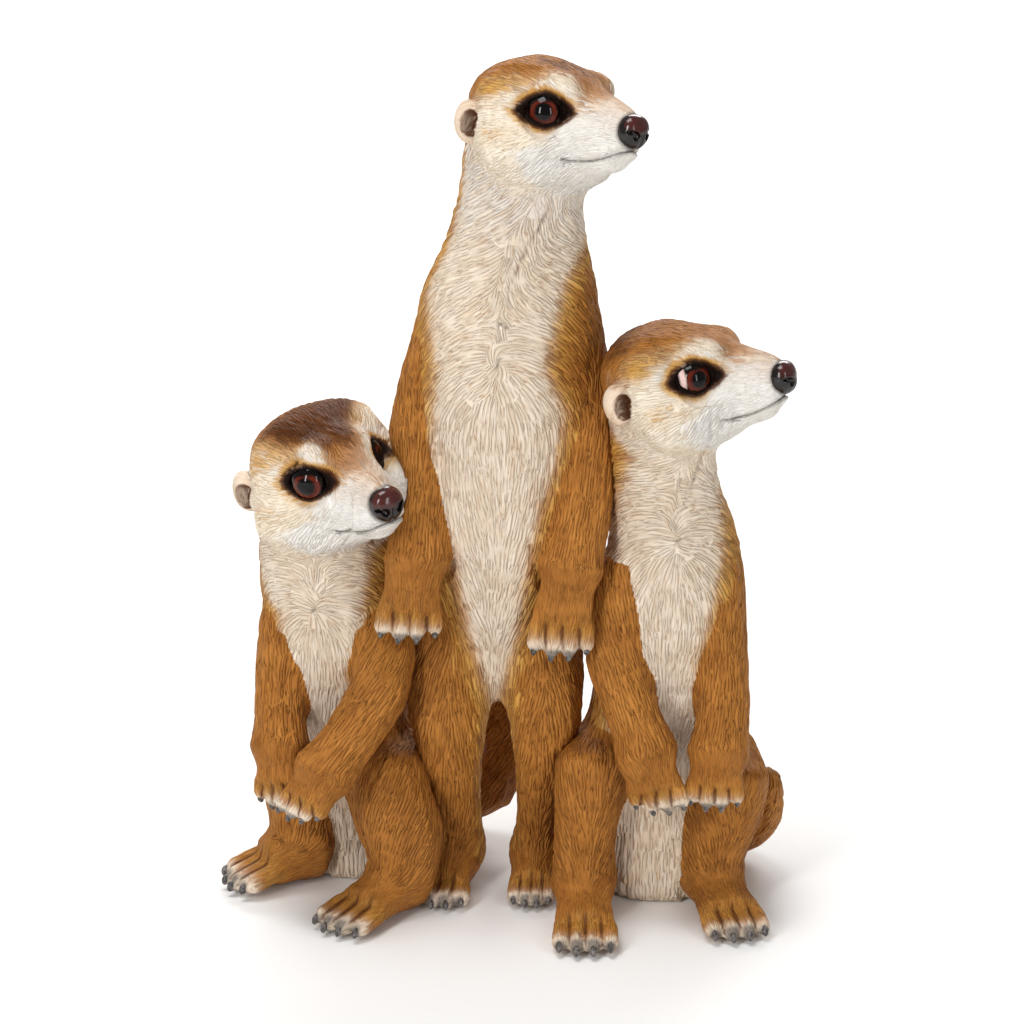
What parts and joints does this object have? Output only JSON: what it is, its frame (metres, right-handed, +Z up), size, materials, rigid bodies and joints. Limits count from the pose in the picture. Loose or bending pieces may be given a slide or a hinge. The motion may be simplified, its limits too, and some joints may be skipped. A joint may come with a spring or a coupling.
{
  "type": "meerkat family garden statue",
  "caption": "Painted cast-resin garden statue: an upright meerkat rests its forepaws on two sitting young pressed to its sides.",
  "frame": {"origin": "middle of the statue's bounding box in plan, on the floor that its feet, seats and tails stand on", "axes": "+Z up, -Y the side that the chests face, +X the viewer's right from the front, where the taller sitting young one is"},
  "size_m": [0.1984, 0.1414, 0.2956],
  "materials": {
    "coat_paint": "ochre-brown hand-painted polyresin with carved fur, dark wash in the grooves",
    "bib_paint": "cream hand-painted polyresin with carved fur, beige wash in the grooves",
    "face_paint": "white, ochre and dark brown hand-painted polyresin, finely carved",
    "paw_paint": "ochre to cream hand-painted polyresin with dark grey claws",
    "ear_paint": "pale painted polyresin rim round a dark red-brown hollow",
    "nose_gloss": "dark red-brown polyresin under gloss varnish",
    "eye_gloss": "red-brown and black polyresin under gloss varnish"
  },
  "bodies": {
    "root": {"adult_head": "face_paint", "adult_neck": "bib_paint", "adult_trunk": "bib_paint", "adult_tail": "coat_paint", "adult_nose": "nose_gloss", "adult_eye_right": "eye_gloss", "adult_ear_right": "ear_paint", "adult_arm_right": "coat_paint", "adult_forepaw_right": "paw_paint", "adult_leg_right": "coat_paint", "adult_foot_right": "paw_paint", "adult_eye_left": "eye_gloss", "adult_ear_left": "ear_paint", "adult_arm_left": "coat_paint", "adult_forepaw_left": "paw_paint", "adult_leg_left": "coat_paint", "adult_foot_left": "paw_paint", "right_pup_head": "face_paint", "right_pup_neck": "bib_paint", "right_pup_trunk": "bib_paint", "right_pup_tail": "coat_paint", "right_pup_nose": "nose_gloss", "right_pup_eye_right": "eye_gloss", "right_pup_ear_right": "ear_paint", "right_pup_arm_right": "coat_paint", "right_pup_forepaw_right": "paw_paint", "right_pup_leg_right": "coat_paint", "right_pup_foot_right": "paw_paint", "right_pup_eye_left": "eye_gloss", "right_pup_ear_left": "ear_paint", "right_pup_arm_left": "coat_paint", "right_pup_forepaw_left": "paw_paint", "right_pup_leg_left": "coat_paint", "right_pup_foot_left": "paw_paint", "left_pup_head": "face_paint", "left_pup_neck": "bib_paint", "left_pup_trunk": "bib_paint", "left_pup_tail": "coat_paint", "left_pup_nose": "nose_gloss", "left_pup_eye_right": "eye_gloss", "left_pup_ear_right": "ear_paint", "left_pup_arm_right": "coat_paint", "left_pup_forepaw_right": "paw_paint", "left_pup_leg_right": "coat_paint", "left_pup_foot_right": "paw_paint", "left_pup_eye_left": "eye_gloss", "left_pup_ear_left": "ear_paint", "left_pup_arm_left": "coat_paint", "left_pup_forepaw_left": "paw_paint", "left_pup_leg_left": "coat_paint", "left_pup_foot_left": "paw_paint"}
  },
  "joints": []
}
